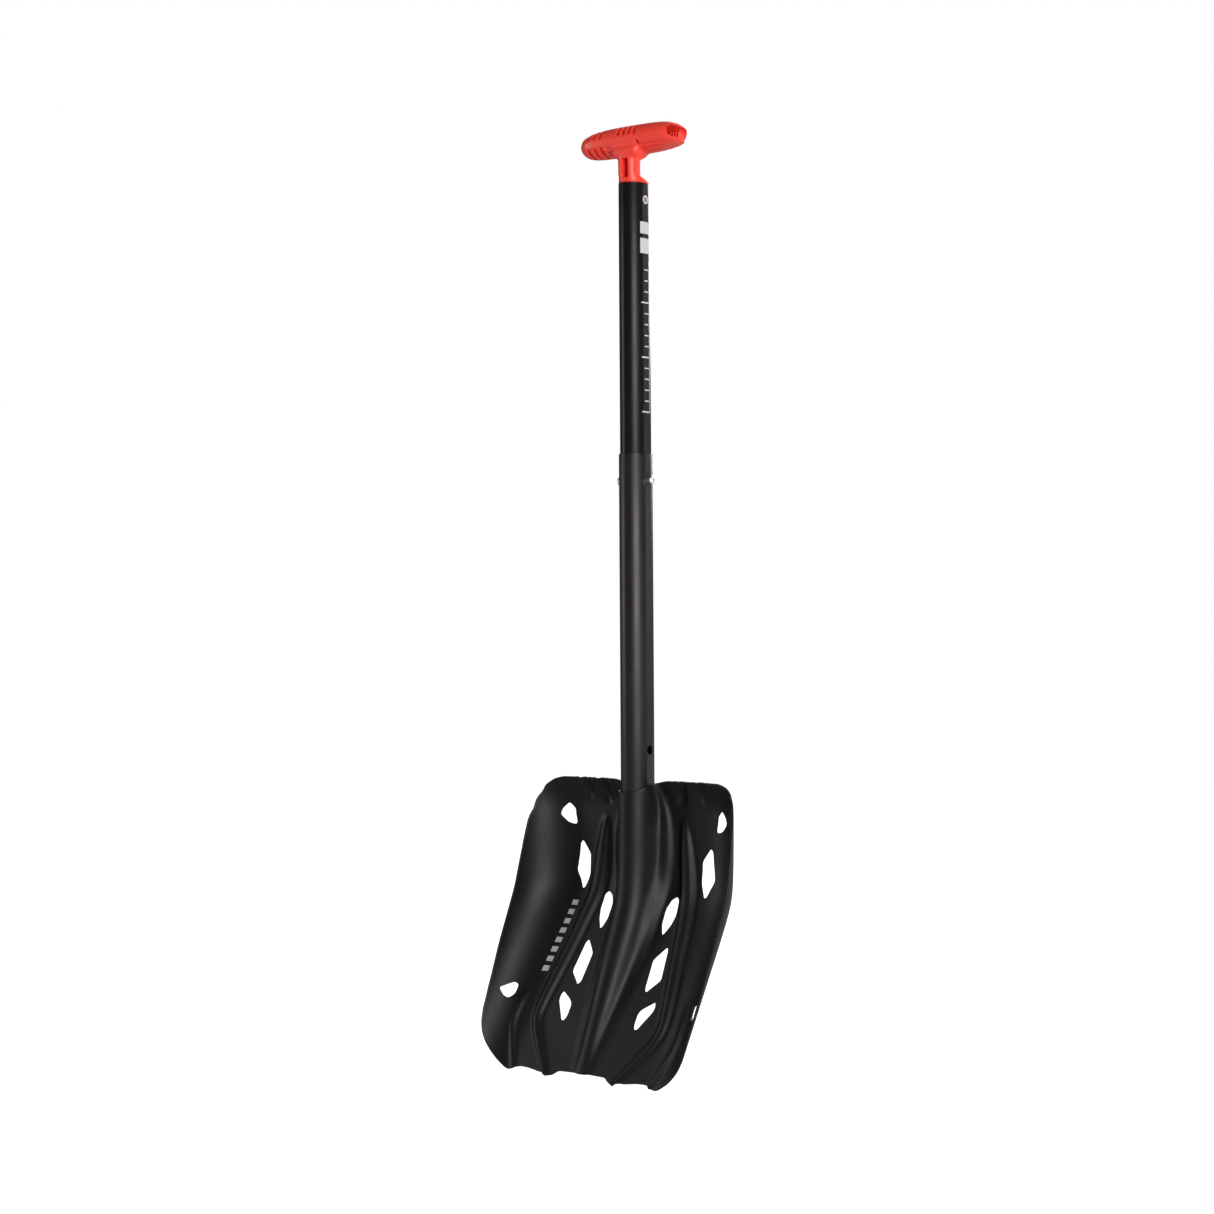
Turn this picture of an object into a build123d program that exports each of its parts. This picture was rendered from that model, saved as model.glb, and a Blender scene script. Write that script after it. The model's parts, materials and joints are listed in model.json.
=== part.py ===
"""Avalanche shovel: hollow T grip, telescoping oval shaft with snap buttons and a scooped
sheet blade held in a socket by a lock button.

Millimetres, +Z up along the shaft, the scoop faces -Y, +X is to the right seen from the
front, and the origin is the middle of the T grip.
"""

from build123d import *
import math
import os

os.makedirs("parts", exist_ok=True)

# ---- shaft ----
UPPER_A, UPPER_B = 13.0, 16.5        # half width and half depth of the upper oval tube
LOWER_A, LOWER_B = 14.2, 17.7        # the same for the lower tube
UPPER_WALL, LOWER_WALL = 1.2, 1.1
UPPER_TOP, UPPER_END = -40.5, -334.0
LOWER_TOP, LOWER_END = -288.2, -672.0
TRAVEL = 247.0                       # telescoping travel between the two hole pairs
SNAP_Z = -312.5                      # snap buttons, shaft extended
LOCK_Z = -628.0                      # blade lock button
HOLE_R = 4.1
BUTTON_R = 3.95
RIVET_Z, RIVET_R = -55.6, 4.0

# ---- grip ----
GRIP_L, GRIP_D, GRIP_H = 110.0, 36.0, 27.0
STEM_A, STEM_FRONT, STEM_BACK = 12.6, -16.4, 4.6

# ---- blade ----
SHEET = 2.0
PANEL_Y, BEND_Z, BEND_W, LIFT = 12.5, -690.0, 14.0, 0.66
BLADE_TOP, BLADE_END = -588.0, -842.0
SOCKET_A, SOCKET_B = 16.5, 20.0      # outside of the socket half shell


def smooth(x: float, lo: float, hi: float) -> float:
    """Ease from 0 at lo to 1 at hi."""
    t = min(1.0, max(0.0, (x - lo) / (hi - lo)))
    return t * t * (3 - 2 * t)


def blend(a: float, b: float, c: float) -> float:
    """The lower of two values with the corner between them rounded."""
    return (a + b - math.hypot(a - b, c)) / 2


def along(z: float, table: list) -> float:
    """A value eased between stations of falling z."""
    if z >= table[0][0]:
        return table[0][1]
    for (z0, v0), (z1, v1) in zip(table, table[1:]):
        if z >= z1:
            return v0 + (v1 - v0) * smooth(z0 - z, 0, z0 - z1)
    return table[-1][1]


def panel(z: float) -> float:
    """Depth of the flat of the blade: straight, then lifted forward."""
    s = BEND_Z - z
    return PANEL_Y - LIFT * (s + math.hypot(s, BEND_W)) / 2


def ridge_line(z: float, skin: float) -> list:
    """Socket ridge across one station, from its left foot over the crest to its right foot.

    skin 0 gives the front face and a sheet thickness gives the hollow behind it.
    """
    high = along(z, [(-684, 1.0), (-740, 0.72), (-800, 0.34), (-846, 0.06)])
    wide = along(z, [(-684, 1.0), (-740, 0.86), (-800, 0.55), (-846, 0.34)])
    a, b = SOCKET_A - skin, SOCKET_B - skin
    points = []
    for i in range(9):
        t = math.radians(-72 + 18 * i)
        points.append((a * math.sin(t), -b * math.cos(t)))
    foot = 19.5 - skin
    points = [(-foot, PANEL_Y)] + points + [(foot, PANEL_Y)]
    return [(x * wide, panel(z) + skin * (1 - high) - high * (PANEL_Y - y)) for x, y in points]


RIB_CENTRE = [(-622, 44), (-660, 48.5), (-717, 56.5), (-766, 65), (-796, 69), (-846, 39)]
RIB_HALF = [(-622, 3), (-645, 8.5), (-742, 8.5), (-790, 7), (-815, 5), (-846, 4)]
RIB_HIGH = [(-622, 0.4), (-640, 4.2), (-742, 4.2), (-800, 3.2), (-846, 1.5)]


def wall_radius(z: float) -> float:
    return 46.0 + 1.0 * smooth(-z, 740, 840)


def wall_start(z: float) -> float:
    return 71.0 + 1.5 * smooth(-z, 690, 840)


def wall_height(z: float) -> float:
    """How far the side wall stands forward of the flat at the free edge."""
    return along(z, [(-600, 27), (-645, 35), (-692, 43), (-770, 32), (-804, 26.5), (-850, 23)])


def wall_point(z: float, side: int, part: float, skin: float) -> tuple:
    """A point on the side wall arc, part 0 at the flat and 1 at the free edge."""
    radius = wall_radius(z)
    a = part * math.acos(1 - wall_height(z) / radius)
    x = wall_start(z) + (radius + skin) * math.sin(a)
    return (side * x, panel(z) - radius + (radius + skin) * math.cos(a))


def outline() -> list:
    """Half outline of the blade seen from the front, as (x, z) from the mouth round to the tip."""
    top = [(0, -597.5), (9, -597), (14.5, -592), (18.5, -595.5), (23, -588)]
    side = [(84, -588), (95, -590.2), (104, -597), (109.5, -607), (112.5, -621), (124, -622)]
    foot = [(124, -808), (113, -811), (110.4, -818), (107, -825), (102, -832), (95, -839.5)]
    edge = [(83, -847), (77, -845), (68, -842.8), (36, -846.8), (32, -846.4), (26, -842), (0, -842)]
    return top + side + foot + edge


HOLES = {
    "corner_top": [(86, -612.5), (80, -620), (79.5, -632.5), (88, -631), (95.5, -623.5), (93.5, -618)],
    "outer": [(73.5, -648), (77.5, -653), (78, -677), (69, -692), (63.5, -682), (63.3, -661)],
    "inner_top": [(38.5, -692.5), (43, -708), (42.5, -714.5), (36, -725.5), (31.2, -719), (30.5, -703)],
    "inner_mid": [(45, -734.5), (50.3, -762), (38, -773), (34, -746)],
    "inner_low": [(52.5, -779), (53.5, -787), (42, -803), (37.3, -801), (37.3, -789.5)],
    "corner_low": [(108, -779), (99.5, -774.7), (96, -778), (96, -785), (100, -788.5), (104, -786)],
}

# ---- grip ----
with BuildPart() as grip:
    with BuildSketch(Plane.XY.offset(-GRIP_H / 2)):
        RectangleRounded(GRIP_L, GRIP_D, 15)
    extrude(amount=GRIP_H)
    fillet(grip.edges().group_by(Axis.Z)[-1], 11)
    fillet(grip.edges().group_by(Axis.Z)[0], 10)
    # stem, flush with the front of the tube and cut away behind
    with BuildSketch(Plane.XY.offset(-6)):
        with Locations((0, (STEM_FRONT + STEM_BACK) / 2)):
            RectangleRounded(2 * STEM_A, STEM_BACK - STEM_FRONT, 9.5)
    extrude(amount=-30)
    # collar on the tube and spigot inside it
    with BuildSketch(Plane.XY.offset(UPPER_TOP)):
        Ellipse(UPPER_A, UPPER_B)
    extrude(amount=5)
    with BuildSketch(Plane.XY.offset(-36.0)):
        with Locations((0, (STEM_FRONT + STEM_BACK) / 2)):
            RectangleRounded(2 * STEM_A - 0.4, STEM_BACK - STEM_FRONT, 9.5)
    extrude(amount=6)
    with BuildSketch(Plane.XY.offset(UPPER_TOP - 34)):
        Ellipse(UPPER_A - UPPER_WALL - 0.05, UPPER_B - UPPER_WALL - 0.05)
    extrude(amount=34)
    # cross hole for the rivet
    with BuildSketch(Plane.YZ):
        with Locations((0, RIVET_Z)):
            Circle(RIVET_R + 0.05)
    extrude(amount=30, both=True, mode=Mode.SUBTRACT)
    # open ends with thin ribs across the pockets
    for side in (-1, 1):
        with BuildSketch(Plane.YZ.offset(side * GRIP_L / 2)):
            with Locations((-7.2, 0.5), (0, 0.5), (7.2, 0.5)):
                RectangleRounded(5.6, 13, 2)
        extrude(amount=-side * 24, mode=Mode.SUBTRACT)
    # slots across the top and the underside
    with BuildSketch(Plane.XY.offset(GRIP_H / 2)):
        with Locations(*[(x, -5) for x in (-9, -3, 3, 9)]):
            RectangleRounded(2.4, 15, 1.1)
        with Locations(*[(s * x, -5) for s in (-1, 1) for x in (32, 37.5, 43)]):
            RectangleRounded(2.2, 13, 1)
    extrude(amount=-3, mode=Mode.SUBTRACT)
    with BuildSketch(Plane.XY.offset(-GRIP_H / 2)):
        with Locations(*[(s * x, -3) for s in (-1, 1) for x in (24, 30, 36)]):
            RectangleRounded(2.6, 14, 1.2)
    extrude(amount=4, mode=Mode.SUBTRACT)
    # pocket down the front of the stem
    with BuildSketch(Plane.XZ.offset(-STEM_FRONT)):
        with Locations((0, -22.5)):
            RectangleRounded(7, 17, 1.5)
    extrude(amount=-8, mode=Mode.SUBTRACT)
grip.part.label = "grip"
export_step(grip.part, "parts/grip.step")

with BuildPart() as grip_rivet:
    with BuildSketch(Plane.XY.offset(RIVET_Z - 6)):
        Ellipse(UPPER_A - 0.02, UPPER_B - 0.02)
    extrude(amount=12)
    with BuildSketch(Plane.YZ):
        with Locations((0, RIVET_Z)):
            Circle(RIVET_R)
    extrude(amount=30, both=True, mode=Mode.INTERSECT)
    for side in (-1, 1):
        with BuildSketch(Plane.YZ.offset(side * 14)):
            with Locations((0, RIVET_Z)):
                Circle(2.2)
        extrude(amount=-side * 6, mode=Mode.SUBTRACT)
grip_rivet.part.label = "grip_rivet"
export_step(grip_rivet.part, "parts/grip_rivet.step")

# ---- upper tube ----
with BuildPart() as upper_tube:
    with BuildSketch(Plane.XY.offset(UPPER_END)):
        Ellipse(UPPER_A, UPPER_B)
        Ellipse(UPPER_A - UPPER_WALL, UPPER_B - UPPER_WALL, mode=Mode.SUBTRACT)
    extrude(amount=UPPER_TOP - UPPER_END)
    with BuildSketch(Plane.YZ):
        with Locations((0, RIVET_Z)):
            Circle(RIVET_R + 0.05)
        with Locations((0, SNAP_Z)):
            Circle(HOLE_R)
    extrude(amount=30, both=True, mode=Mode.SUBTRACT)
upper_tube.part.label = "upper_tube"
export_step(upper_tube.part, "parts/upper_tube.step")

with BuildPart() as upper_tube_plug:
    with BuildSketch(Plane.XY.offset(UPPER_END - 2.5)):
        Ellipse(UPPER_A - 0.1, UPPER_B - 0.1)
    extrude(amount=2.5)
    with BuildSketch(Plane.XY.offset(UPPER_END)):
        Ellipse(UPPER_A - UPPER_WALL - 0.05, UPPER_B - UPPER_WALL - 0.05)
    extrude(amount=9)
    with BuildSketch(Plane.XY.offset(UPPER_END - 2.5)):
        Ellipse(8.5, 12)
    extrude(amount=12, mode=Mode.SUBTRACT)
upper_tube_plug.part.label = "upper_tube_plug"
export_step(upper_tube_plug.part, "parts/upper_tube_plug.step")


def leaf(plane: Plane, reach: float, foot: float, bow: float, width: float) -> BuildPart:
    """A hairpin strip: two legs at plus and minus reach from foot up to bow, joined by an arc."""
    inner = reach - 0.8
    with BuildPart() as strip:
        with BuildSketch(plane):
            with BuildLine():
                Line((-reach, foot), (-reach, bow))
                ThreePointArc((-reach, bow), (0, bow + reach), (reach, bow))
                Line((reach, bow), (reach, foot))
                Line((reach, foot), (inner, foot))
                Line((inner, foot), (inner, bow))
                ThreePointArc((inner, bow), (0, bow + inner), (-inner, bow))
                Line((-inner, bow), (-inner, foot))
                Line((-inner, foot), (-reach, foot))
            make_face()
        extrude(amount=width / 2, both=True)
    return strip


telescope_spring = leaf(Plane.XZ, 9.3, SNAP_Z - 7, SNAP_Z + 26, 9)
telescope_spring.part.label = "telescope_spring"
export_step(telescope_spring.part, "parts/telescope_spring.step")


def push_button(plane: Plane, seat: float, tip: float) -> BuildPart:
    """A pin with a shoulder inside the tube, a rounded rim and a shallow cup in its end."""
    with BuildPart() as pin:
        with BuildSketch(plane.offset(seat)):
            Circle(5.2)
        extrude(amount=0.9)
        with BuildSketch(plane.offset(seat + 0.9)):
            Circle(BUTTON_R)
        extrude(amount=tip - seat - 0.9)
        end = Axis(plane.origin, plane.z_dir)
        fillet(pin.edges().filter_by(GeomType.CIRCLE).sort_by(end)[-1], 1.2)
        with BuildSketch(plane.offset(tip)):
            Circle(1.9)
        extrude(amount=-1.4, taper=20, mode=Mode.SUBTRACT)
    return pin


for name, side in (("left_snap_button", -1), ("right_snap_button", 1)):
    button = push_button(Plane((0, 0, SNAP_Z), x_dir=(0, 1, 0), z_dir=(side, 0, 0)), 9.4, 19.3)
    button.part.label = name
    export_step(button.part, f"parts/{name}.step")

# ---- lower tube ----
with BuildPart() as lower_tube:
    with BuildSketch(Plane.XY.offset(LOWER_END)):
        Ellipse(LOWER_A, LOWER_B)
        Ellipse(LOWER_A - LOWER_WALL, LOWER_B - LOWER_WALL, mode=Mode.SUBTRACT)
    extrude(amount=LOWER_TOP - LOWER_END)
    with BuildSketch(Plane.YZ):
        with Locations((0, SNAP_Z), (0, SNAP_Z - TRAVEL)):
            Circle(HOLE_R)
    extrude(amount=30, both=True, mode=Mode.SUBTRACT)
    with BuildSketch(Plane.XZ):
        with Locations((0, LOCK_Z)):
            Circle(HOLE_R)
    extrude(amount=-30, mode=Mode.SUBTRACT)
lower_tube.part.label = "lower_tube"
export_step(lower_tube.part, "parts/lower_tube.step")

with BuildPart() as lower_tube_plug:
    with BuildSketch(Plane.XY.offset(LOWER_END - 2.5)):
        Ellipse(LOWER_A - 0.1, LOWER_B - 0.1)
    extrude(amount=2.5)
    with BuildSketch(Plane.XY.offset(LOWER_END)):
        Ellipse(LOWER_A - LOWER_WALL - 0.05, LOWER_B - LOWER_WALL - 0.05)
    extrude(amount=10)
    with BuildSketch(Plane.XY.offset(LOWER_END + 10)):
        Ellipse(9.5, 13)
    extrude(amount=-10, mode=Mode.SUBTRACT)
lower_tube_plug.part.label = "lower_tube_plug"
export_step(lower_tube_plug.part, "parts/lower_tube_plug.step")

blade_lock_spring = leaf(Plane.YZ, 12.9, LOCK_Z - 8, LOCK_Z + 18, 9)
blade_lock_spring.part.label = "blade_lock_spring"
export_step(blade_lock_spring.part, "parts/blade_lock_spring.step")

blade_lock_button = push_button(Plane((0, 0, LOCK_Z), x_dir=(1, 0, 0), z_dir=(0, 1, 0)), 13.0, 24.2)
blade_lock_button.part.label = "blade_lock_button"
export_step(blade_lock_button.part, "parts/blade_lock_button.step")

# ---- blade ----
SHEET_STATIONS = [-580, -625, -660, -675, -690, -705, -722, -750, -780, -804, -828, -852]
RIDGE_STATIONS = [-580, -684, -700, -720, -740, -770, -800, -825, -848]
RIB_STATIONS = [-624, -634, -645, -660, -690, -717, -742, -766, -786, -798, -810, -826, -848]

with BuildPart() as blade:
    for z in SHEET_STATIONS:
        with BuildSketch(Plane.XY.offset(z)):
            with BuildLine():
                ThreePointArc(*[wall_point(z, -1, p, 0) for p in (1, 0.5, 0)])
                Line(wall_point(z, -1, 0, 0), wall_point(z, 1, 0, 0))
                ThreePointArc(*[wall_point(z, 1, p, 0) for p in (0, 0.5, 1)])
                Line(wall_point(z, 1, 1, 0), wall_point(z, 1, 1, SHEET))
                ThreePointArc(*[wall_point(z, 1, p, SHEET) for p in (1, 0.5, 0)])
                Line(wall_point(z, 1, 0, SHEET), wall_point(z, -1, 0, SHEET))
                ThreePointArc(*[wall_point(z, -1, p, SHEET) for p in (0, 0.5, 1)])
                Line(wall_point(z, -1, 1, SHEET), wall_point(z, -1, 1, 0))
            make_face()
    loft(ruled=True)
    # socket ridge, solid first and then hollowed from behind
    for skin, mode in ((0.0, Mode.ADD), (SHEET, Mode.SUBTRACT)):
        for z in RIDGE_STATIONS:
            line = ridge_line(z, skin)
            back = panel(z) + (1.0 if skin == 0 else 6.0)
            with BuildSketch(Plane.XY.offset(z)):
                with BuildLine():
                    Line(line[0], line[1])
                    Spline(*line[1:-1])
                    Line(line[-2], line[-1])
                    Polyline(line[-1], (line[-1][0], back), (line[0][0], back), line[0])
                make_face()
        loft(ruled=True, mode=mode)
    # long ribs either side of the ridge
    for side in (-1, 1):
        for z in RIB_STATIONS:
            x, w, h = [along(z, table) for table in (RIB_CENTRE, RIB_HALF, RIB_HIGH)]
            y = panel(z) + 0.8
            ends = [(side * x - w, y), (side * x, y - 0.8 - h), (side * x + w, y)]
            with BuildSketch(Plane.XY.offset(z)):
                with BuildLine():
                    ThreePointArc(*ends)
                    Line(ends[2], ends[0])
                make_face()
        loft(ruled=True)
    half = outline()
    loop = half + [(-x, z) for x, z in reversed(half[1:-1])]
    with BuildSketch(Plane.XZ):
        with BuildLine():
            Polyline(*loop, close=True)
        make_face()
    extrude(amount=140, both=True, mode=Mode.INTERSECT)
    for points in HOLES.values():
        for side in (-1, 1):
            with BuildSketch(Plane.XZ) as cut:
                with BuildLine():
                    Polyline(*[(side * x, z) for x, z in points], close=True)
                make_face()
                fillet(cut.vertices(), 1.3)
            extrude(amount=140, both=True, mode=Mode.SUBTRACT)
blade.part.label = "blade"
export_step(blade.part, "parts/blade.step")

# ---- back sleeve welded over the socket ----
SLEEVE_TOP, SLEEVE_END = -593.0, -668.0
with BuildPart() as back_sleeve:
    with BuildSketch(Plane.XY.offset(SLEEVE_END)):
        Ellipse(SOCKET_A, SOCKET_B)
        with Locations((0, 5.5)):
            Rectangle(60, 20, mode=Mode.SUBTRACT)
        with Locations((0, -15)):
            Rectangle(60, 30, mode=Mode.SUBTRACT)
        with Locations((0, 15.9)):
            Rectangle(58, 2)
        Ellipse(SOCKET_A - SHEET, SOCKET_B - SHEET, mode=Mode.SUBTRACT)
    extrude(amount=SLEEVE_TOP - SLEEVE_END)
    with BuildSketch(Plane.XZ):
        with Locations((0, LOCK_Z)):
            Circle(HOLE_R)
    extrude(amount=-40, mode=Mode.SUBTRACT)
back_sleeve.part.label = "back_sleeve"
export_step(back_sleeve.part, "parts/back_sleeve.step")

with BuildPart() as sleeve_welds:
    for side in (-1, 1):
        for top, end in ((-595, -617), (-625, -640), (-648, -666)):
            with BuildSketch(Plane.XY.offset(end)):
                with BuildLine():
                    Polyline((side * 29, 14.9), (side * 31.2, 14.9), (side * 29, 16.9), close=True)
                make_face()
            extrude(amount=top - end)
sleeve_welds.part.label = "sleeve_welds"
export_step(sleeve_welds.part, "parts/sleeve_welds.step")
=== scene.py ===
"""Looks of the avalanche shovel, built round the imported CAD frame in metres.

Each sub-assembly is a class whose methods model its pieces with operators and dress them.
The blade's sheet is the one piece laid out from formulas, because its ribs, scoop and
cut-outs have to share one curved surface.
"""

import sys

import json
import logging
import math
from dataclasses import dataclass, field
from enum import Enum

import bpy
import numpy as np
from mathutils import Matrix, Vector
from mathutils.geometry import delaunay_2d_cdt

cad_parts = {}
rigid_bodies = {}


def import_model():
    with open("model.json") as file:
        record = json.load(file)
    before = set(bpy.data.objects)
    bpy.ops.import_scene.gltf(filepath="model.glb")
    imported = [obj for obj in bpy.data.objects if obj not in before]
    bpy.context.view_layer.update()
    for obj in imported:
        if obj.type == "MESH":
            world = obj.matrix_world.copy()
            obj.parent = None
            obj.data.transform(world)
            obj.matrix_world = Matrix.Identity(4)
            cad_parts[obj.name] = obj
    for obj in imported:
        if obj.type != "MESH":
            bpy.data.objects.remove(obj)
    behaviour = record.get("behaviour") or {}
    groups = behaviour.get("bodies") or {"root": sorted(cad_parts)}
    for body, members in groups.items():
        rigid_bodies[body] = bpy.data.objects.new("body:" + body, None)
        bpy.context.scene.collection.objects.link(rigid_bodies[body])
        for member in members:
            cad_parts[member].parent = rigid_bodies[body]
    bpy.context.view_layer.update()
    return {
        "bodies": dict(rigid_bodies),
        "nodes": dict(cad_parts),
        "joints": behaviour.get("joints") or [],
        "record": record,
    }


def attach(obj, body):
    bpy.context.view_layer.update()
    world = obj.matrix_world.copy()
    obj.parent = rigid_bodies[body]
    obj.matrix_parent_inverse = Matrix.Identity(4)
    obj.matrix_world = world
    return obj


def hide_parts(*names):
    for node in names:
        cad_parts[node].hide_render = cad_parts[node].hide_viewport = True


log = logging.getLogger("shovel")

MM = 0.001
Point = tuple[float, float]

# places along the shaft and the upper tube's half sizes, in mm
COLLAR_Z, RIVET_Z, SNAP_Z, STOWED_SNAP_Z, LOCK_Z = -40.5, -55.6, -312.5, -559.5, -628.0
RIVET_HOLE = 4.05
UPPER_HALF = (13.0, 16.5)


class Side(Enum):
    """Left or right half of a mirrored pair."""

    LEFT = -1
    RIGHT = 1


class Body(str, Enum):
    """Rigid bodies of the frame."""

    UPPER = "upper_shaft"
    LOWER = "lower_shaft"
    BLADE = "blade"


# ---------------------------------------------------------------- finishes


@dataclass(frozen=True)
class Finish:
    """A procedural surface: base colour, shine, grain in the colour and grain in relief."""

    name: str
    color: tuple[float, float, float]
    metallic: float = 0.0
    roughness: float = 0.4
    rough_spread: float = 0.08
    grain_scale: float = 900.0
    grain_stretch: tuple[float, float, float] = (1.0, 1.0, 1.0)
    grain_tint: float = 0.12
    bump: float = 0.05
    bump_scale: float = 2400.0
    bump_depth: float = 0.0002
    coat: float = 0.0
    specular: float = 0.5
    tint: tuple[float, float, float] = (1.0, 1.0, 1.0)

    def build(self) -> bpy.types.Material:
        """Makes the node material.

        Returns:
            The new material.
        """
        mat = bpy.data.materials.new(self.name)
        mat.use_nodes = True
        tree = mat.node_tree
        shader = tree.nodes["Principled BSDF"]
        shader.inputs["Metallic"].default_value = self.metallic
        shader.inputs["Coat Weight"].default_value = self.coat
        shader.inputs["Specular IOR Level"].default_value = self.specular
        shader.inputs["Specular Tint"].default_value = (*self.tint, 1)
        place = tree.nodes.new("ShaderNodeTexCoord")
        stretch = tree.nodes.new("ShaderNodeMapping")
        stretch.inputs["Scale"].default_value = self.grain_stretch
        tree.links.new(place.outputs["Object"], stretch.inputs["Vector"])
        grain = self._noise(tree, stretch.outputs["Vector"], self.grain_scale, 3.0)
        wear = self._noise(tree, place.outputs["Object"], 28.0, 2.0)
        low = tuple(c * (1 - self.grain_tint) for c in self.color)
        high = tuple(min(1.0, c * (1 + self.grain_tint)) for c in self.color)
        tone = self._ramp(tree, grain.outputs["Fac"], low, high)
        tree.links.new(tone.outputs["Color"], shader.inputs["Base Color"])
        rough = tree.nodes.new("ShaderNodeMapRange")
        rough.inputs["From Min"].default_value = 0.3
        rough.inputs["From Max"].default_value = 0.7
        rough.inputs["To Min"].default_value = self.roughness - self.rough_spread / 2
        rough.inputs["To Max"].default_value = self.roughness + self.rough_spread / 2
        tree.links.new(wear.outputs["Fac"], rough.inputs["Value"])
        tree.links.new(rough.outputs["Result"], shader.inputs["Roughness"])
        relief = self._noise(tree, stretch.outputs["Vector"], self.bump_scale, 4.0)
        bump = tree.nodes.new("ShaderNodeBump")
        bump.inputs["Strength"].default_value = self.bump
        bump.inputs["Distance"].default_value = self.bump_depth
        tree.links.new(relief.outputs["Fac"], bump.inputs["Height"])
        tree.links.new(bump.outputs["Normal"], shader.inputs["Normal"])
        return mat

    @staticmethod
    def _noise(tree: bpy.types.NodeTree, vector: bpy.types.NodeSocket, scale: float,
               detail: float) -> bpy.types.Node:
        """Adds a noise texture.

        Args:
            tree: the material's nodes.
            vector: where the noise reads its place from.
            scale: the noise's scale.
            detail: the noise's detail.

        Returns:
            The noise node.
        """
        noise = tree.nodes.new("ShaderNodeTexNoise")
        noise.inputs["Scale"].default_value = scale
        noise.inputs["Detail"].default_value = detail
        tree.links.new(vector, noise.inputs["Vector"])
        return noise

    @staticmethod
    def _ramp(tree: bpy.types.NodeTree, value: bpy.types.NodeSocket,
              low: tuple, high: tuple) -> bpy.types.Node:
        """Adds a two-stop colour ramp.

        Args:
            tree: the material's nodes.
            value: the socket that drives the ramp.
            low: colour at the dark end.
            high: colour at the light end.

        Returns:
            The ramp node.
        """
        ramp = tree.nodes.new("ShaderNodeValToRGB")
        ramp.color_ramp.elements[0].position = 0.3
        ramp.color_ramp.elements[1].position = 0.7
        ramp.color_ramp.elements[0].color = (*low, 1)
        ramp.color_ramp.elements[1].color = (*high, 1)
        tree.links.new(value, ramp.inputs["Fac"])
        return ramp


@dataclass(frozen=True)
class Band:
    """A printed rectangle in two object axes, optionally repeated along the second."""

    first: int
    first_range: Point
    second: int
    second_range: Point
    pitch: float = 0.0
    stroke: float = 0.0
    lean: float = 0.0
    front: int = 0


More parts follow.
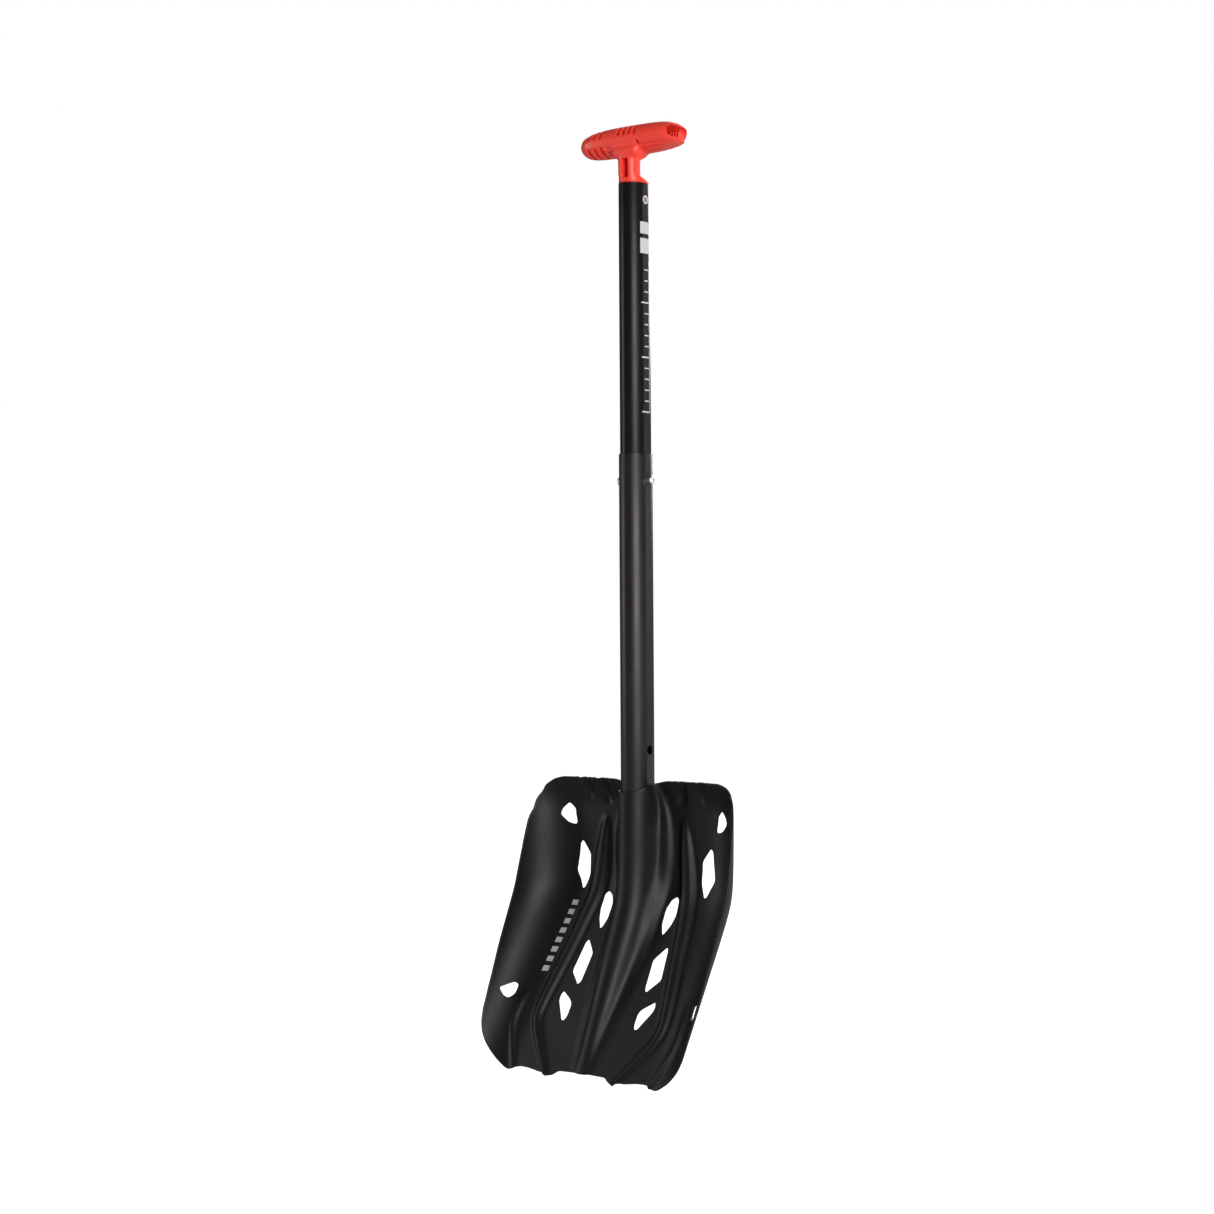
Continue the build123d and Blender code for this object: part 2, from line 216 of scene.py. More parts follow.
@dataclass(frozen=True)
class PrintedFinish(Finish):
    """A finish with light printed marks over it."""

    bands: tuple[Band, ...] = ()
    ink: tuple[float, float, float] = (0.62, 0.61, 0.60)
    front_only: bool = False

    def build(self) -> bpy.types.Material:
        """Makes the finish and lays the print over its colour, shine and metalness.

        Returns:
            The new material.
        """
        mat = super().build()
        tree = mat.node_tree
        shader = tree.nodes["Principled BSDF"]
        place = tree.nodes.new("ShaderNodeTexCoord")
        split = tree.nodes.new("ShaderNodeSeparateXYZ")
        tree.links.new(place.outputs["Object"], split.inputs["Vector"])
        mask = None
        for band in self.bands:
            one = self._band(tree, split, band)
            mask = one if mask is None else self._math(tree, "MAXIMUM", mask, one)
        if self.front_only:
            facing = tree.nodes.new("ShaderNodeSeparateXYZ")
            tree.links.new(place.outputs["Normal"], facing.inputs["Vector"])
            ahead = self._math(tree, "LESS_THAN", facing.outputs["Y"], 0.0)
            mask = self._math(tree, "MULTIPLY", mask, ahead)
        speck = self._noise(tree, place.outputs["Object"], 1800.0, 2.0)
        worn = self._math(tree, "GREATER_THAN", speck.outputs["Fac"], 0.28)
        mask = self._math(tree, "MULTIPLY", mask, worn)
        under = shader.inputs["Base Color"].links[0].from_socket
        mix = tree.nodes.new("ShaderNodeMix")
        mix.data_type = "RGBA"
        mix.inputs[7].default_value = (*self.ink, 1)
        tree.links.new(mask, mix.inputs["Factor"])
        tree.links.new(under, mix.inputs[6])
        tree.links.new(mix.outputs[2], shader.inputs["Base Color"])
        metal = tree.nodes.new("ShaderNodeMapRange")
        metal.inputs["To Min"].default_value = self.metallic
        metal.inputs["To Max"].default_value = 0.0
        tree.links.new(mask, metal.inputs["Value"])
        tree.links.new(metal.outputs["Result"], shader.inputs["Metallic"])
        return mat

    def _band(self, tree: bpy.types.NodeTree, split: bpy.types.Node,
              band: Band) -> bpy.types.NodeSocket:
        """Mask of one printed band.

        Args:
            tree: the material's nodes.
            split: the node that gives the separate object coordinates.
            band: the band's place.

        Returns:
            A socket that is 1 inside the band.
        """
        a = split.outputs[band.first]
        b = split.outputs[band.second]
        if band.lean:
            middle = sum(band.second_range) / 2
            drift = self._math(tree, "MULTIPLY", self._math(tree, "SUBTRACT", b, middle), band.lean)
            a = self._math(tree, "SUBTRACT", a, drift)
        inside = self._within(tree, a, band.first_range)
        inside = self._math(tree, "MULTIPLY", inside, self._within(tree, b, band.second_range))
        if band.pitch:
            phase = self._math(tree, "PINGPONG", b, band.pitch / 2)
            tick = self._math(tree, "LESS_THAN", phase, band.stroke / 2)
            inside = self._math(tree, "MULTIPLY", inside, tick)
        if band.front:
            ahead = self._math(tree, "GREATER_THAN", split.outputs[band.front - 1], 0.0)
            inside = self._math(tree, "MULTIPLY", inside, ahead)
        return inside

    def _within(self, tree: bpy.types.NodeTree, value: bpy.types.NodeSocket,
                span: Point) -> bpy.types.NodeSocket:
        """1 where the value lies in the span.

        Args:
            tree: the material's nodes.
            value: the socket tested.
            span: lowest and highest value.

        Returns:
            The mask's socket.
        """
        above = self._math(tree, "GREATER_THAN", value, span[0])
        below = self._math(tree, "LESS_THAN", value, span[1])
        return self._math(tree, "MULTIPLY", above, below)

    @staticmethod
    def _math(tree: bpy.types.NodeTree, kind: str, a: bpy.types.NodeSocket,
              b: bpy.types.NodeSocket | float) -> bpy.types.NodeSocket:
        """Adds a math node.

        Args:
            tree: the material's nodes.
            kind: the operation.
            a: first input.
            b: second input, a socket or a number.

        Returns:
            The result's socket.
        """
        node = tree.nodes.new("ShaderNodeMath")
        node.operation = kind
        tree.links.new(a, node.inputs[0])
        if isinstance(b, float):
            node.inputs[1].default_value = b
        else:
            tree.links.new(b, node.inputs[1])
        return node.outputs[0]


# printed marks, in metres of the piece's own axes
SCALE_BANDS = (
    Band(1, (-0.0025, 0.0040), 2, (-0.2500, -0.1130), 0.010, 0.0011, front=1),
    Band(1, (-0.0060, 0.0040), 2, (-0.2510, -0.1120), 0.050, 0.0014, front=1),
    Band(1, (0.0048, 0.0056), 2, (-0.2510, -0.1120), front=1),
    *(Band(1, (-0.0070, 0.0050), 2, block, front=1) for block in ((-0.1050, -0.0910), (-0.0870, -0.0760))),
)
DASH_BANDS = (Band(0, (-0.0800, -0.0735), 2, (-0.7670, -0.7010), 0.0082, 0.0046, lean=0.11),)

ANODISED_TINT = (1.0, 0.93, 0.95)
GRIP_RED = Finish("grip_red", (1.0, 0.056, 0.032), roughness=0.42, rough_spread=0.08, grain_scale=500,
                  grain_tint=0.05, bump=0.10, bump_scale=1500, bump_depth=0.0001, coat=0.08)
UPPER_BLACK = PrintedFinish("upper_anodised", (0.0052, 0.0042, 0.0044), roughness=0.34, tint=ANODISED_TINT,
                            specular=0.26, grain_scale=900, grain_stretch=(1, 1, 0.08), bump=0.06,
                            bands=SCALE_BANDS)
LOWER_BLACK = Finish("lower_anodised", (0.0085, 0.0072, 0.0078), roughness=0.42, tint=ANODISED_TINT,
                     specular=0.45, grain_scale=900, grain_stretch=(1, 1, 0.08), bump=0.08)
BLADE_BLACK = PrintedFinish("blade_anodised", (0.0062, 0.0050, 0.0055), roughness=0.47, tint=ANODISED_TINT,
                            specular=0.32, grain_scale=1600, grain_tint=0.3, bump=0.25,
                            bump_scale=2600, bump_depth=0.00015, bands=DASH_BANDS,
                            ink=(0.45, 0.44, 0.43), front_only=True)
BARE_METAL = Finish("bare_metal", (0.86, 0.78, 0.76), metallic=0.85, roughness=0.42, bump=0.3,
                    bump_scale=900)
WELD_METAL = Finish("weld_metal", (0.66, 0.64, 0.63), metallic=1.0, roughness=0.35, bump=0.8,
                    bump_scale=700, bump_depth=0.0005, grain_tint=0.3)
CHROME = Finish("chrome", (0.92, 0.91, 0.92), metallic=1.0, roughness=0.30, rough_spread=0.06,
                grain_tint=0.04, bump=0.02)
SPRING_STEEL = Finish("spring_steel", (0.46, 0.46, 0.48), metallic=1.0, roughness=0.32, bump=0.1)
PLUG_PLASTIC = Finish("plug_plastic", (0.022, 0.022, 0.024), roughness=0.55, bump=0.2)


# ---------------------------------------------------------------- modelling by operators


class Workbench:
    """Operator steps shared by the sub-assemblies."""

    @staticmethod
    def only(obj: bpy.types.Object) -> None:
        """Selects one object and makes it active.

        Args:
            obj: the object.
        """
        bpy.ops.object.select_all(action="DESELECT")
        obj.select_set(True)
        bpy.context.view_layer.objects.active = obj

    @classmethod
    def settle(cls, obj: bpy.types.Object, name: str) -> bpy.types.Object:
        """Names a piece and moves its placement into its mesh.

        Args:
            obj: the piece.
            name: its name.

        Returns:
            The piece.
        """
        cls.only(obj)
        bpy.ops.object.transform_apply(location=True, rotation=True, scale=True)
        obj.name = name
        obj.data.name = name
        return obj

    @classmethod
    def modify(cls, obj: bpy.types.Object, kind: str, **values: object) -> None:
        """Adds a modifier, sets it and applies it.

        Args:
            obj: the piece.
            kind: the modifier's type.
            values: its settings.
        """
        cls.only(obj)
        mod = obj.modifiers.new(kind.lower(), kind)
        for key, value in values.items():
            setattr(mod, key, value)
        bpy.ops.object.modifier_apply(modifier=mod.name)

    @classmethod
    def combine(cls, obj: bpy.types.Object, other: bpy.types.Object, how: str) -> None:
        """Joins a second solid to a piece or cuts it away, and removes the second solid.

        Args:
            obj: the piece.
            other: the solid used on it.
            how: UNION, DIFFERENCE or INTERSECT.
        """
        cls.modify(obj, "BOOLEAN", object=other, operation=how, solver="EXACT")
        bpy.data.objects.remove(other, do_unlink=True)

    @classmethod
    def block(cls, size: tuple, place: tuple, radius: float = 0.0, turn: tuple = (0, 0, 0),
              segments: int = 5) -> bpy.types.Object:
        """A box with rounded edges.

        Args:
            size: full size in mm.
            place: centre in mm.
            radius: edge radius in mm.
            turn: rotation in degrees.
            segments: steps round each edge.

        Returns:
            The box.
        """
        bpy.ops.mesh.primitive_cube_add(size=1, location=[v * MM for v in place],
                                        rotation=[math.radians(v) for v in turn])
        obj = bpy.context.object
        obj.scale = [v * MM for v in size]
        bpy.ops.object.transform_apply(location=False, rotation=False, scale=True)
        if radius:
            cls.modify(obj, "BEVEL", width=radius * MM, segments=segments, limit_method="NONE")
        return obj

    @classmethod
    def oval(cls, a: float, b: float, low: float, high: float, sides: int = 96,
             place: Point = (0, 0)) -> bpy.types.Object:
        """An upright oval rod.

        Args:
            a: half width in mm.
            b: half depth in mm.
            low: lowest z in mm.
            high: highest z in mm.
            sides: steps round it.
            place: its axis in x and y, in mm.

        Returns:
            The rod.
        """
        middle = (place[0] * MM, place[1] * MM, (low + high) / 2 * MM)
        bpy.ops.mesh.primitive_cylinder_add(vertices=sides, radius=1, depth=(high - low) * MM,
                                            location=middle)
        obj = bpy.context.object
        obj.scale = (a * MM, b * MM, 1)
        bpy.ops.object.transform_apply(location=False, rotation=False, scale=True)
        return obj

    @staticmethod
    def rod(radius: float, length: float, place: tuple, axis: str, sides: int = 40) -> bpy.types.Object:
        """A round rod along X or Y.

        Args:
            radius: its radius in mm.
            length: its length in mm.
            place: its centre in mm.
            axis: "X" or "Y".
            sides: steps round it.

        Returns:
            The rod.
        """
        turn = (0, math.pi / 2, 0) if axis == "X" else (math.pi / 2, 0, 0)
        bpy.ops.mesh.primitive_cylinder_add(vertices=sides, radius=radius * MM, depth=length * MM,
                                            location=[v * MM for v in place], rotation=turn)
        return bpy.context.object

    @classmethod
    def smooth(cls, obj: bpy.types.Object, degrees: float = 35.0) -> None:
        """Shades a piece smooth except over sharp edges.

        Args:
            obj: the piece.
            degrees: the sharpest angle still shaded smooth.
        """
        cls.only(obj)
        bpy.ops.object.shade_smooth_by_angle(angle=math.radians(degrees))

    @staticmethod
    def dress(obj: bpy.types.Object, mat: bpy.types.Material, body: Body, slot: str,
              *nodes: str) -> None:
        """Gives a finished piece its material and its body, and hides the CAD nodes it stands for.

        Args:
            obj: the piece.
            mat: its material.
            body: the body it rides on.
            slot: not used.
            nodes: CAD nodes it replaces.
        """
        obj.data.materials.clear()
        obj.data.materials.append(mat)
        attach(obj, body.value)
        if nodes:
            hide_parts(*nodes)
        log.info("%s: %d faces", obj.name, len(obj.data.polygons))


# ---------------------------------------------------------------- grip


@dataclass
class Grip:
    """Hollow moulded T grip with its stem and collar."""

    stations: tuple = ((-54.8, 5.0, 3.0, -1.6), (-54.2, 8.5, 5.6, -1.5), (-52.6, 11.6, 8.2, -1.4),
                       (-49.5, 14.2, 10.2, -1.2), (-44, 16.2, 11.6, -0.9), (-36, 17.4, 12.7, -0.5),
                       (-25, 18.0, 13.3, -0.2), (-10, 18.1, 13.6, 0.0), (10, 18.1, 13.6, 0.0),
                       (25, 18.0, 13.3, 0.1), (36, 17.6, 12.6, 0.2), (44, 17.0, 11.4, 0.2),
                       (49.5, 15.2, 9.8, 0.1), (52.6, 12.6, 8.2, 0.0), (54.2, 9.6, 6.2, 0.0),
                       (54.8, 6.0, 3.6, 0.0))
    voxel: float = 0.5

    def build(self, mat: bpy.types.Material) -> bpy.types.Object:
        """Models the grip.

        Args:
            mat: its material.

        Returns:
            The grip.
        """
        grip = self._bar()
        for solid in self._stem():
            Workbench.combine(grip, solid, "UNION")
        self._soften(grip, 1.2, 9)
        for cutter in self._cutters():
            Workbench.combine(grip, cutter, "DIFFERENCE")
        for fin in self._fins():
            Workbench.combine(grip, fin, "UNION")
        self._soften(grip, self.voxel, 2)
        spigot = Workbench.oval(11.7, 15.2, -74.5, -40.0, 64)
        Workbench.combine(grip, spigot, "UNION")
        Workbench.combine(grip, Workbench.rod(RIVET_HOLE, 60, (0, 0, RIVET_Z), "X"), "DIFFERENCE")
        Workbench.settle(grip, "moulded_grip")
        Workbench.smooth(grip, 50)
        Workbench.dress(grip, mat, Body.UPPER, "grip", "grip")
        return grip

    def _bar(self) -> bpy.types.Object:
        """The T bar: an oval profile extruded and resized from one end to the other.

        Returns:
            The bar.
        """
        path = self.stations
        x, d, h, c = path[0]
        bpy.ops.mesh.primitive_circle_add(vertices=72, radius=1, fill_type="NGON",
                                          rotation=(0, math.pi / 2, 0))
        bar = bpy.context.object
        bpy.ops.object.transform_apply(location=False, rotation=True, scale=False)
        bar.scale = (1, d * MM, h * MM)
        bar.location = (x * MM, 0, c * MM)
        bpy.ops.object.transform_apply(location=True, rotation=False, scale=True)
        bpy.ops.object.mode_set(mode="EDIT")
        bpy.ops.mesh.select_all(action="SELECT")
        for (x0, d0, h0, c0), (x1, d1, h1, c1) in zip(path, path[1:]):
            step = ((x1 - x0) * MM, 0, (c1 - c0) * MM)
            bpy.ops.mesh.extrude_region_move(TRANSFORM_OT_translate={"value": step})
            bpy.ops.transform.resize(value=(1, d1 / d0, h1 / h0), center_override=(x1 * MM, 0, c1 * MM))
        bpy.ops.mesh.select_all(action="SELECT")
        bpy.ops.mesh.normals_make_consistent(inside=False)
        bpy.ops.object.mode_set(mode="OBJECT")
        return bar

    def _stem(self) -> list:
        """Stem flush with the front of the tube, and the collar that covers the tube's end.

        Returns:
            The solids to join to the bar.
        """
        stem = Workbench.block((19.6, 19.0, 38), (0, -6.9, -20.0), 7.6, segments=8)
        root = Workbench.block((29, 24.0, 12), (0, -5.6, -11.6), 5.6, segments=8)
        collar = Workbench.oval(*UPPER_HALF, COLLAR_Z, -38.6)
        ramps = [Workbench.oval(a, b, -39.5, z, place=(0, y))
                 for a, b, z, y in ((12.8, 15.6, -37.6, -0.7), (12.3, 14.2, -36.2, -1.9),
                                    (11.4, 12.4, -34.8, -3.6), (10.6, 10.8, -33.4, -5.2))]
        return [stem, root, collar, *ramps]

    @staticmethod
    def _slot(size: tuple, start: tuple, end: tuple, sink: float, radius: float) -> bpy.types.Object:
        """A cutter for one slot pressed into the bar between two points of its skin.

        Args:
            size: the slot's width and the cutter's height, in mm.
            start: one end of the slot on the skin.
            end: its other end.
            sink: how deep the slot goes below the line between its ends.
            radius: the cutter's edge radius.

        Returns:
            The cutter.
        """
        a, b = Vector(start), Vector(end)
        run = (b - a).normalized()
        out = (a + b) / 2
        up = Vector((0, out.y, out.z))
        up = (up - run * up.dot(run)).normalized()
        cutter = Workbench.block((size[0], (b - a).length, size[1]), (0, 0, 0), radius)
        cutter.data.transform(Matrix((run.cross(up), run, up)).transposed().to_4x4())
        cutter.data.transform(Matrix.Translation((out + up * (size[1] / 2 - sink)) * MM))
        return cutter

    def _cutters(self) -> list:
        """Slots, pockets and the open end of the moulding.

        Returns:
            The solids to cut away.
        """
        slot = self._slot
        found = []
        for x in (-4.9, 1.1, 7.1, 13.1):
            found.append(slot((2.8, 9), (x - 4.4, -6.2, 12.8), (x - 0.7, -17.8, 2.4), 2.4, 1.2))
        for side in (1, -1):
            for x, d, h in ((-41.5, 0.86, 0.84), (-34.2, 0.94, 0.93), (-26.8, 0.98, 0.98)):
                top = (side * (x - 3.4), -side * 6.2 * d, 12.8 * h)
                low = (side * x, -side * 17.8 * d, 2.4 * h)
                found.append(slot((2.7, 9), top, low, 2.4, 1.2))
                top = (side * x, -side * 16.6 * d, -5.0 * h)
                low = (side * x, -side * 1.0, -14.0 * h)
                found.append(slot((2.9, 9), top, low, 2.2, 1.3))
            for y, z in ((-15.2, -7.4), (-11.4, -10.6), (-7.0, -12.8)):
                start, end = (side * -22, side * y, z), (side * -14.6, side * y, z)
                found.append(slot((3.0, 7), start, end, 1.5, 1.2))
            for y, z in ((-14.4, -8.4), (-10.2, -11.4), (-5.4, -13.2)):
                start, end = (side * 15, side * y, z), (side * 45, side * y * 0.95, z * 0.93)
                found.append(slot((2.0, 7), start, end, 1.3, 0.9))
            found.append(Workbench.rod(1.9, 9, (side * 15.4, side * -17, -5.4), "Y", 24))
        open_end = Workbench.block((44, 30.5, 11.0), (41, 0, -0.2), 5.2, (-6, 0, 0), 8)
        stem_pocket = Workbench.block((7.0, 22, 17.6), (0.8, -16.4, -27.1), 1.2)
        return [*found, open_end, stem_pocket]

    def _fins(self) -> list:
        """Thin stiffening fins inside the open end.

        Returns:
            The solids to join.
        """
        return [Workbench.block((1.1, 10.0, 12.0), (x, 11.0, 0.0), 0.3, (0, 14, 0))
                for x in (36.4, 39.4, 42.4, 45.4)]

    @staticmethod
    def _soften(grip: bpy.types.Object, voxel: float, steps: int) -> None:
        """Melts the joined solids into one skin with rounded inner corners.

        Args:
            grip: the grip.
            voxel: cell size in mm.
            steps: smoothing steps after it.
        """
        Workbench.modify(grip, "REMESH", mode="VOXEL", voxel_size=voxel * MM)
        Workbench.modify(grip, "SMOOTH", factor=0.5, iterations=steps)


# ---------------------------------------------------------------- shaft


@dataclass
class Tube:
    """One oval tube with its cross holes."""

    name: str
    node: str
    half_width: float
    half_depth: float
    wall: float
    low: float
    high: float
    body: Body
    slot_name: str
    side_holes: tuple = ()
    back_holes: tuple = ()
    hole_radius: float = 4.1

    def build(self, mat: bpy.types.Material) -> bpy.types.Object:
        """Models the tube.

        Args:
            mat: its material.

        Returns:
            The tube.
        """
        tube = Workbench.oval(self.half_width, self.half_depth, self.low, self.high, 160)
        core = Workbench.oval(self.half_width - self.wall, self.half_depth - self.wall,
                              self.low - 5, self.high + 5, 160)
        Workbench.combine(tube, core, "DIFFERENCE")
        for z in self.side_holes:
            Workbench.combine(tube, Workbench.rod(self.hole_radius, 60, (0, 0, z), "X"), "DIFFERENCE")
        for z in self.back_holes:
            cutter = Workbench.rod(self.hole_radius, 30, (0, 20, z), "Y")
            Workbench.combine(tube, cutter, "DIFFERENCE")
        Workbench.modify(tube, "BEVEL", width=0.3 * MM, segments=2, limit_method="ANGLE",
                         angle_limit=math.radians(50))
        Workbench.settle(tube, self.name)
        Workbench.smooth(tube, 30)
        Workbench.dress(tube, mat, self.body, self.slot_name, self.node)
        return tube


# ---------------------------------------------------------------- blade


@dataclass
class BladeForm:
    """The curved surface of the sheet, in mm: a lifted flat, side walls, socket ridge and ribs."""

    panel_y: float = 12.5
    bend_z: float = -690.0
    bend_w: float = 16.0
    lift: float = 0.66
    socket_a: float = 16.5
    socket_b: float = 20.0

    @staticmethod
    def ease(x: np.ndarray, lo: float, hi: float) -> np.ndarray:
        """Smooth step from 0 at lo to 1 at hi.

        Args:
            x: values.
            lo: where it starts.
            hi: where it ends.

        Returns:
            The eased values.
        """
        t = np.clip((x - lo) / (hi - lo), 0, 1)
        return t * t * (3 - 2 * t)

    @staticmethod
    def along(z: float, table: tuple) -> float:
        """A value along the blade, by smooth curves between stations of falling z.

        Args:
            z: the height asked for.
            table: (z, value) stations.

        Returns:
            The value there.
        """
        zs = np.array([-p[0] for p in table], float)
        vs = np.array([p[1] for p in table], float)
        t = -z
        if t <= zs[0]:
            return float(vs[0])
        if t >= zs[-1]:
            return float(vs[-1])
        slopes = np.gradient(vs, zs)
        i = int(np.searchsorted(zs, t)) - 1
        h = zs[i + 1] - zs[i]
        u = (t - zs[i]) / h
        a = (2 * u**3 - 3 * u**2 + 1) * vs[i] + (u**3 - 2 * u**2 + u) * h * slopes[i]
        b = (3 * u**2 - 2 * u**3) * vs[i + 1] + (u**3 - u**2) * h * slopes[i + 1]
        return float(a + b)

    def panel(self, z: float) -> float:
        """Depth of the flat.

        Args:
            z: height.

        Returns:
            Its y.
        """
        s = self.bend_z - z
        return self.panel_y - self.lift * (s + math.hypot(s, self.bend_w)) / 2

    def ridge(self, x: np.ndarray, z: float) -> np.ndarray:
        """Depth of the socket ridge that wraps the tube and runs out at the edge.

        Args:
            x: distances from the middle.
            z: height.

        Returns:
            The ridge's y, well behind the flat where there is no ridge.
        """
        high = self.along(z, ((-684, 1.0), (-712, 0.86), (-740, 0.71), (-770, 0.52), (-800, 0.33),
                              (-825, 0.17), (-846, 0.07)))
        wide = self.along(z, ((-684, 1.0), (-712, 0.95), (-740, 0.86), (-770, 0.72), (-800, 0.55),
                              (-825, 0.43), (-846, 0.36)))
        slope = 8.0 - 5.2 * float(self.ease(np.array(-z), 590, 640))
        q = slope * self.socket_a / self.socket_b
        r = q / math.hypot(1, q)
        edge_x, edge_y = self.socket_a * r, -self.socket_b * math.sqrt(1 - r * r)
        u = np.abs(x) / wide
        oval = -self.socket_b * np.sqrt(np.clip(1 - (u / self.socket_a) ** 2, 0, 1))
        y = np.where(u < edge_x, oval, edge_y + slope * (u - edge_x))
        return self.panel(z) - high * (self.panel_y - y)

    def bead(self, x: np.ndarray, z: float, centre: tuple, half: tuple, high: tuple,
             flat: float = 0.0) -> np.ndarray:
        """A raised bead that follows a line down the blade.

        Args:
            x: distances from the middle.
            z: height.
            centre: stations of the bead's line.
            half: stations of its half width.
            high: stations of its height.
            flat: part of the half width that is flat on top.

        Returns:
            How far it stands forward.
        """
        t = np.abs(np.abs(x) - self.along(z, centre)) / max(0.2, self.along(z, half))
        t = np.clip((t - flat) / (1 - flat), 0, 1)
        return self.along(z, high) * (np.cos(math.pi * t) + 1) / 2

    def ribs(self, x: np.ndarray, z: float) -> np.ndarray:
        """All raised beads at one height.

        Args:
            x: distances from the middle.
            z: height.

        Returns:
            How far they stand forward.
        """
        total = self.bead(
            x, z, ((-620, 44), (-640, 46.5), (-662, 48.5), (-690, 51.5), (-717, 56.5), (-742, 60.5),
                   (-766, 65), (-790, 69), (-800, 69.5), (-808, 67), (-825, 55), (-848, 37)),
            ((-620, 2), (-632, 6), (-650, 8.8), (-742, 8.8), (-780, 7.8), (-800, 6.5), (-815, 6.5),
             (-848, 4.0)),
            ((-621, 0), (-632, 3.4), (-650, 5.2), (-742, 5.4), (-790, 5.0), (-812, 4.2), (-848, 3.0)), 0.25)
        total = total + self.bead(
            x, z, ((-776, 88), (-795, 91.5), (-808, 91.5), (-825, 85.5), (-848, 75)),
            ((-776, 1), (-786, 3.6), (-808, 4.2), (-848, 3.6)),
            ((-776, 0), (-788, 2.2), (-812, 2.6), (-848, 2.0)))
        for middle, foot in ((41.0, -613), (61.0, -609)):
            total = total - self.bead(
                x, z, ((-584, middle + 5.5), (-612, middle)), ((-584, 6.4), (foot + 6, 5.0), (foot, 2.0)),
                ((-584, 2.4), (foot + 6, 2.3), (foot, 0.0)), 0.45)
        # a low shoulder between the socket's flank and the flat
        total = total + self.bead(
            x, z, ((-590, 17), (-611, 22), (-630, 25.5), (-655, 26.5), (-675, 25), (-697, 22.5),
                   (-737, 21.5), (-779, 18), (-842, 9)),
            ((-590, 4.5), (-620, 6.5), (-690, 7.0), (-740, 6), (-800, 5)),
            ((-590, 2.2), (-620, 4.0), (-690, 4.4), (-737, 2.6), (-800, 1.0), (-842, 0.2)), 0.2)
        return total

    def wall(self, z: float) -> tuple[float, float, float]:
        """Side wall at one height.

        Args:
            z: height.

        Returns:
            Where its arc starts, its radius and its last angle.
        """
        start = 71.0 + 1.5 * float(self.ease(np.array(-z), 690, 840))
        radius = 46.0 + 1.0 * float(self.ease(np.array(-z), 740, 840))
        rise = self.along(z, ((-600, 28.5), (-620, 29.0), (-645, 34.5), (-692, 43), (-730, 39.5),
                              (-770, 32), (-804, 26.5), (-850, 24)))
        return start, radius, math.acos(1 - rise / radius)

    def station(self, z: float) -> tuple[np.ndarray, np.ndarray]:
        """Points across half the blade at one height.

        Args:
            z: height.

        Returns:
            Their x and y, from the middle outwards.
        """
        start, radius, last = self.wall(z)
        inner = np.arange(0, start, 0.2)
        angles = np.linspace(0, last, 220)
        x = np.concatenate([inner, start + radius * np.sin(angles)])
        back = np.concatenate([np.zeros_like(inner), radius * (1 - np.cos(angles))])
        flat = self.panel(z) - back
        soft = self.along(z, ((-590, 3.0), (-640, 8.0), (-690, 8.0), (-740, 5.0), (-800, 2.4), (-846, 0.8)))
        lean = float(self.ease(np.array(z), -618, -582)) ** 1.3
        flat = flat - lean * 9.9 * (1 - 0.55 * self.ease(x, 84, 112))
        ridge = self.ridge(x, z)
        y = (ridge + flat - np.hypot(ridge - flat, soft)) / 2
        y = np.where(ridge > flat + 40, flat, y)
        return x, y - self.ribs(x, z)


class BladeLayout:
    """Unrolled layout of the sheet: s across the surface, z down it."""

    def __init__(self, form: BladeForm, top: float = -584.0, end: float = -852.0) -> None:
        """Tabulates the surface.

        Args:
            form: the surface.
            top: highest z.
            end: lowest z.
        """
        self.rows = np.arange(top, end - 0.5, -1.0)
        self.step = 0.5
        self.xs, self.ys, self.ends, self.arcs = [], [], [], []
        width = 190.0
        grid = np.arange(0, width, self.step)
        for z in self.rows:
            x, y = form.station(float(z))
            s = np.concatenate([[0], np.cumsum(np.hypot(np.diff(x), np.diff(y)))])
            self.ends.append(s[-1])
            self.arcs.append((x, s))
            # carry on straight past the free edge so that sampling there stays smooth
            dx, dy = x[-1] - x[-4], y[-1] - y[-4]
            n = math.hypot(dx, dy)
            over = np.clip(grid - s[-1], 0, None)
            self.xs.append(np.interp(grid, s, x) + over * dx / n)
            self.ys.append(np.interp(grid, s, y) + over * dy / n)
        self.xs, self.ys = np.array(self.xs), np.array(self.ys)

    def _row(self, z: float) -> float:
        """Fractional row of a height.

        Args:
            z: height.

        Returns:
            The row.
        """
        return min(max(self.rows[0] - z, 0.0), len(self.rows) - 1.001)

    def edge(self, z: float) -> float:
        """Length across the surface to the free edge.

        Args:
            z: height.

        Returns:
            The length.
        """
        return float(np.interp(self._row(z), np.arange(len(self.ends)), self.ends))

    def unroll(self, x: float, z: float) -> Point:
        """Lays a point seen from the front out flat.

        Args:
            x: its x.
            z: its z.

        Returns:
            Its s and z.
        """
        row, s = self._row(z), 0.0
        for i, weight in ((int(row), 1 - row % 1), (int(row) + 1, row % 1)):
            xs, arc = self.arcs[i]
            s += weight * float(np.interp(abs(x), xs, arc))
        return (math.copysign(s, x), z)

    def roll(self, points: list) -> list:
        """Puts laid-out points back on the curved surface.

        Args:
            points: (s, z) points.

        Returns:
            Places in metres.
        """
        out = []
        for s, z in points:
            r, c = self._row(z), abs(s) / self.step
            i, j = int(r), int(c)
            u, v = r - i, c - j
            weights = ((i, j, (1 - u) * (1 - v)), (i + 1, j, u * (1 - v)),
                       (i, j + 1, (1 - u) * v), (i + 1, j + 1, u * v))
            x = sum(w * self.xs[a][b] for a, b, w in weights)
            y = sum(w * self.ys[a][b] for a, b, w in weights)
            out.append((math.copysign(x, s) * MM, y * MM, z * MM))
        return out


